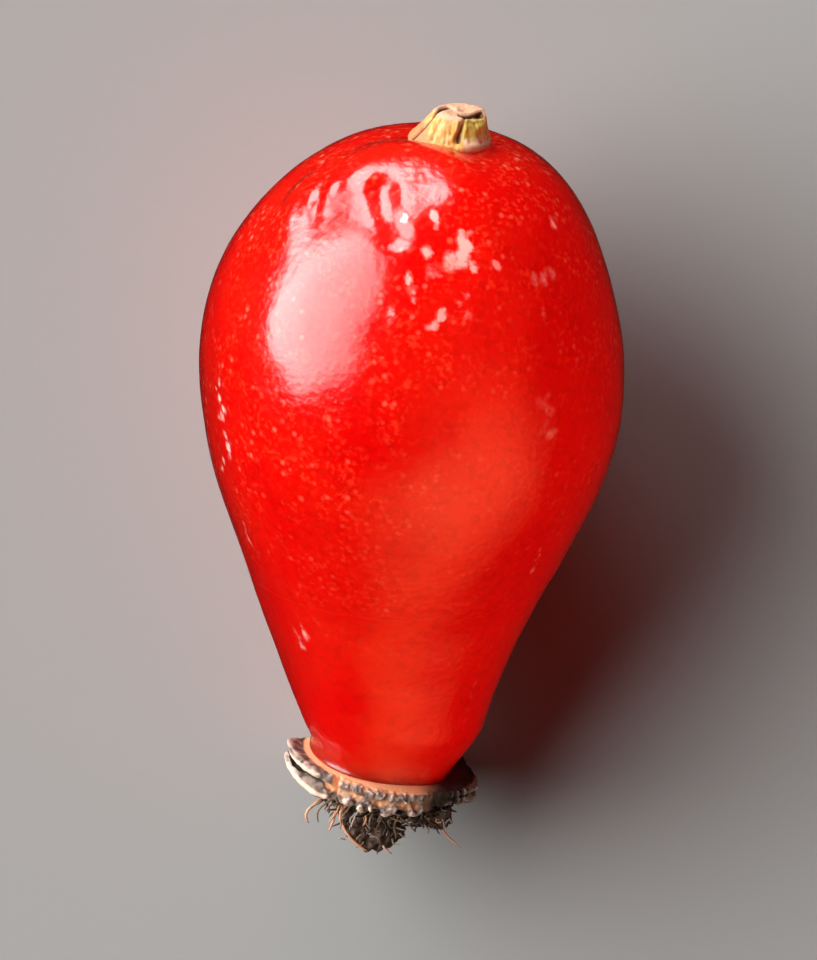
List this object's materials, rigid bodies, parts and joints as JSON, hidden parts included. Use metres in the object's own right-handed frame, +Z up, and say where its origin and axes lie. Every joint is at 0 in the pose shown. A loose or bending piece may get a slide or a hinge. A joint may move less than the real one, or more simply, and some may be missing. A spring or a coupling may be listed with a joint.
{
  "type": "rose hip",
  "caption": "Ripe pear-shaped rose hip lying on its side, with a broken stalk stub on its wide end and a dried calyx with curled stamens on its narrow end.",
  "frame": {"origin": "middle of the footprint, on the ground under the lying fruit", "axes": "+Z up, +Y towards the stem end along the fruit, +X across it"},
  "size_m": [0.0144, 0.0256, 0.0145],
  "materials": {
    "skin": "waxy red fruit skin with fine pale specks",
    "stalk": "dry, torn, cream to tan",
    "calyx": "dry, rough, grey-brown",
    "sepal": "dry, wrinkled, grey to pinkish tan",
    "styles": "felted dry hairs, grey-brown",
    "filament": "dry threads, tan to dark brown"
  },
  "bodies": {
    "root": {"hip_flesh": "skin", "stem_stub": "stalk", "calyx_disc": "calyx", "style_knob": "styles", "sepal_stub_1": "sepal", "sepal_stub_2": "sepal", "sepal_stub_3": "sepal", "sepal_stub_4": "sepal", "sepal_stub_5": "sepal", "stamen_01": "filament", "stamen_02": "filament", "stamen_03": "filament", "stamen_04": "filament", "stamen_05": "filament", "stamen_06": "filament", "stamen_07": "filament", "stamen_08": "filament", "stamen_09": "filament", "stamen_10": "filament", "stamen_11": "filament", "stamen_12": "filament", "stamen_13": "filament", "stamen_14": "filament", "stamen_15": "filament", "stamen_16": "filament", "stamen_17": "filament", "stamen_18": "filament", "stamen_19": "filament", "stamen_20": "filament", "stamen_21": "filament", "stamen_22": "filament", "stamen_23": "filament", "stamen_24": "filament", "stamen_25": "filament", "stamen_26": "filament"}
  },
  "joints": []
}
